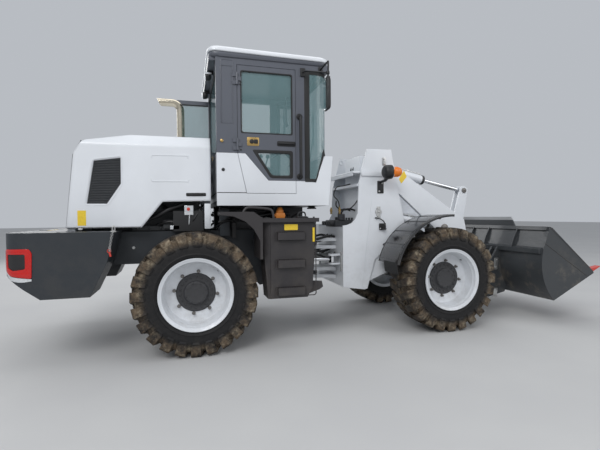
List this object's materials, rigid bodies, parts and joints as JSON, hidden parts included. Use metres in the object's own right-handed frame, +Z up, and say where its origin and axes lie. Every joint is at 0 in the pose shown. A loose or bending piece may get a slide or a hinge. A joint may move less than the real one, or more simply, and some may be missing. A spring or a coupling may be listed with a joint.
{
  "type": "articulated wheel loader",
  "caption": "Articulated wheel loader with a glazed cab, steering pivot, lift arms, tilting lever linkage, hydraulic cylinders and a toothed bucket.",
  "frame": {"origin": "bottom centre of the bounding box, on the ground between the wheels", "axes": "+X forwards to the bucket, +Y to the driver's left, +Z up"},
  "size_m": [6.475, 2.2, 3.028],
  "materials": {
    "tyre": "lugged rubber with dried mud",
    "white_paint": "gloss white paint",
    "slate_paint": "slate grey satin paint",
    "dark_paint": "dark grey satin paint",
    "taupe_plate": "dark satin plate",
    "bucket_steel": "worn dark grey paint",
    "red_paint": "red paint",
    "glass": "tinted safety glass",
    "cast": "painted casting",
    "steel": "polished hydraulic rod",
    "zinc": "zinc plated plate",
    "plastic": "black moulded plastic",
    "exhaust": "heat tinted pipe",
    "seat_cover": "black seat cover",
    "lamp_black": "lamp housing"
  },
  "bodies": {
    "rear_frame": {"rear_frame": "dark_paint", "rear_axle": "cast", "counterweight": "dark_paint", "tow_hitch": "dark_paint", "hood": "white_paint", "side_grilles": "dark_paint", "engine_block": "cast", "radiator": "cast", "exhaust_stack": "exhaust", "cab_floor": "slate_paint", "cab_panels": "white_paint", "cab_frame": "slate_paint", "cab_roof": "white_paint", "windscreen": "glass", "rear_window": "glass", "operator_seat": "seat_cover", "dashboard": "plastic", "rear_fenders": "taupe_plate", "entry_steps": "taupe_plate", "grab_handles": "plastic", "mirrors": "plastic", "rear_lamps": "lamp_black", "transmission": "cast", "bay_fittings": "plastic", "rear_drive_shaft": "zinc"},
    "door_right": {"door_right": "slate_paint", "door_skin_right": "white_paint", "door_glass_right": "glass"},
    "door_left": {"door_left": "slate_paint", "door_skin_left": "white_paint", "door_glass_left": "glass"},
    "front_frame": {"front_frame": "white_paint", "front_axle": "cast", "frame_pins": "zinc", "front_lamps": "lamp_black", "front_fenders": "dark_paint", "front_drive_shaft": "zinc"},
    "lift_arms": {"lift_arms": "white_paint"},
    "tilt_lever": {"tilt_lever": "white_paint"},
    "bucket_link": {"bucket_link": "white_paint"},
    "tilt_barrel": {"tilt_barrel": "white_paint"},
    "tilt_rod": {"tilt_rod": "steel"},
    "lift_barrels": {"lift_barrels": "white_paint"},
    "lift_rods": {"lift_rods": "steel"},
    "steering_barrel_left": {"steering_barrel_left": "white_paint"},
    "steering_rod_left": {"steering_rod_left": "steel"},
    "steering_barrel_right": {"steering_barrel_right": "white_paint"},
    "steering_rod_right": {"steering_rod_right": "steel"},
    "bucket": {"bucket": "bucket_steel", "bucket_teeth": "red_paint"},
    "wheel_front_left": {"tyre_front_left": "tyre", "rim_front_left": "white_paint"},
    "wheel_front_right": {"tyre_front_right": "tyre", "rim_front_right": "white_paint"},
    "wheel_rear_left": {"tyre_rear_left": "tyre", "rim_rear_left": "white_paint"},
    "wheel_rear_right": {"tyre_rear_right": "tyre", "rim_rear_right": "white_paint"}
  },
  "joints": [
    {"name": "articulation", "type": "hinge", "parent": "rear_frame", "child": "front_frame", "pos_m": [-0.2395, 0, 0], "axis": [0, 0, 1], "range_deg": [-35, 35]},
    {"name": "lift", "type": "hinge", "parent": "front_frame", "child": "lift_arms", "pos_m": [0.6105, 0, 1.84], "axis": [0, -1, 0], "range_deg": [-8, 88]},
    {"name": "bucket_tip", "type": "hinge", "parent": "lift_arms", "child": "bucket", "pos_m": [2.1085, 0, 0.313], "axis": [0, 1, 0], "range_deg": [-10, 150]},
    {"name": "lever_swing", "type": "hinge", "parent": "lift_arms", "child": "tilt_lever", "pos_m": [1.8745, 0, 1], "axis": [0, -1, 0], "range_deg": [-4.3, 37]},
    {"name": "link_swing", "type": "hinge", "parent": "tilt_lever", "child": "bucket_link", "pos_m": [1.7105, 0, 0.408], "axis": [0, -1, 0], "range_deg": [-105.8, 8.9]},
    {"name": "tilt_barrel_swing", "type": "hinge", "parent": "front_frame", "child": "tilt_barrel", "pos_m": [0.5865, 0, 1.971], "axis": [0, -1, 0], "range_deg": [-9.7, 86.7]},
    {"name": "tilt_rod_slide", "type": "slide", "parent": "tilt_barrel", "child": "tilt_rod", "axis": [0.9767, 0, -0.2144], "range_m": [-0.56, 0.0401]},
    {"name": "lift_barrel_swing", "type": "hinge", "parent": "front_frame", "child": "lift_barrels", "pos_m": [0.5095, 0, 1.358], "axis": [0, -1, 0], "range_deg": [-8.4, 72.2]},
    {"name": "lift_rod_slide", "type": "slide", "parent": "lift_barrels", "child": "lift_rods", "axis": [0.9769, 0, -0.2137], "range_m": [-0.0548, 0.5729]},
    {"name": "steering_barrel_left_swing", "type": "hinge", "parent": "rear_frame", "child": "steering_barrel_left", "pos_m": [-0.7595, 0.3, 0.8], "axis": [0, 0, 1], "range_deg": [-11.4, 11.4]},
    {"name": "steering_rod_left_slide", "type": "slide", "parent": "steering_barrel_left", "child": "steering_rod_left", "axis": [0.9991, 0.0419, 0], "range_m": [-0.1946, 0.1946]},
    {"name": "steering_barrel_right_swing", "type": "hinge", "parent": "rear_frame", "child": "steering_barrel_right", "pos_m": [-0.7595, -0.3, 0.8], "axis": [0, 0, 1], "range_deg": [-11.4, 11.4]},
    {"name": "steering_rod_right_slide", "type": "slide", "parent": "steering_barrel_right", "child": "steering_rod_right", "axis": [0.9991, -0.0419, 0], "range_m": [-0.1946, 0.1946]},
    {"name": "front_left_wheel", "type": "hinge", "parent": "front_frame", "child": "wheel_front_left", "pos_m": [1.1505, 0.795, 0.5875], "axis": [0, 1, 0], "continuous": true},
    {"name": "front_right_wheel", "type": "hinge", "parent": "front_frame", "child": "wheel_front_right", "pos_m": [1.1505, -0.795, 0.5875], "axis": [0, 1, 0], "continuous": true},
    {"name": "rear_left_wheel", "type": "hinge", "parent": "rear_frame", "child": "wheel_rear_left", "pos_m": [-1.6295, 0.795, 0.5875], "axis": [0, 1, 0], "continuous": true},
    {"name": "rear_right_wheel", "type": "hinge", "parent": "rear_frame", "child": "wheel_rear_right", "pos_m": [-1.6295, -0.795, 0.5875], "axis": [0, 1, 0], "continuous": true},
    {"name": "right_door", "type": "hinge", "parent": "rear_frame", "child": "door_right", "pos_m": [-1.1995, -0.7123, 2.18], "axis": [0, 0, -1], "range_deg": [0, 175]},
    {"name": "left_door", "type": "hinge", "parent": "rear_frame", "child": "door_left", "pos_m": [-1.1995, 0.7123, 2.18], "axis": [0, 0, 1], "range_deg": [-180, 0]}
  ],
  "couplings": [
    {"joint": "lever_swing", "follows": "bucket_tip", "ratio": 0.23328},
    {"joint": "link_swing", "follows": "bucket_tip", "ratio": -0.6923},
    {"joint": "tilt_barrel_swing", "follows": "lift", "ratio": 0.96228},
    {"joint": "tilt_rod_slide", "follows": "bucket_tip", "m_per_rad": -0.21275},
    {"joint": "lift_barrel_swing", "follows": "lift", "ratio": 0.79811},
    {"joint": "lift_rod_slide", "follows": "lift", "m_per_rad": 0.37107},
    {"joint": "steering_barrel_left_swing", "follows": "articulation", "ratio": 0.26801},
    {"joint": "steering_rod_left_slide", "follows": "articulation", "m_per_rad": -0.31363},
    {"joint": "steering_barrel_right_swing", "follows": "articulation", "ratio": 0.26801},
    {"joint": "steering_rod_right_slide", "follows": "articulation", "m_per_rad": 0.31363}
  ]
}
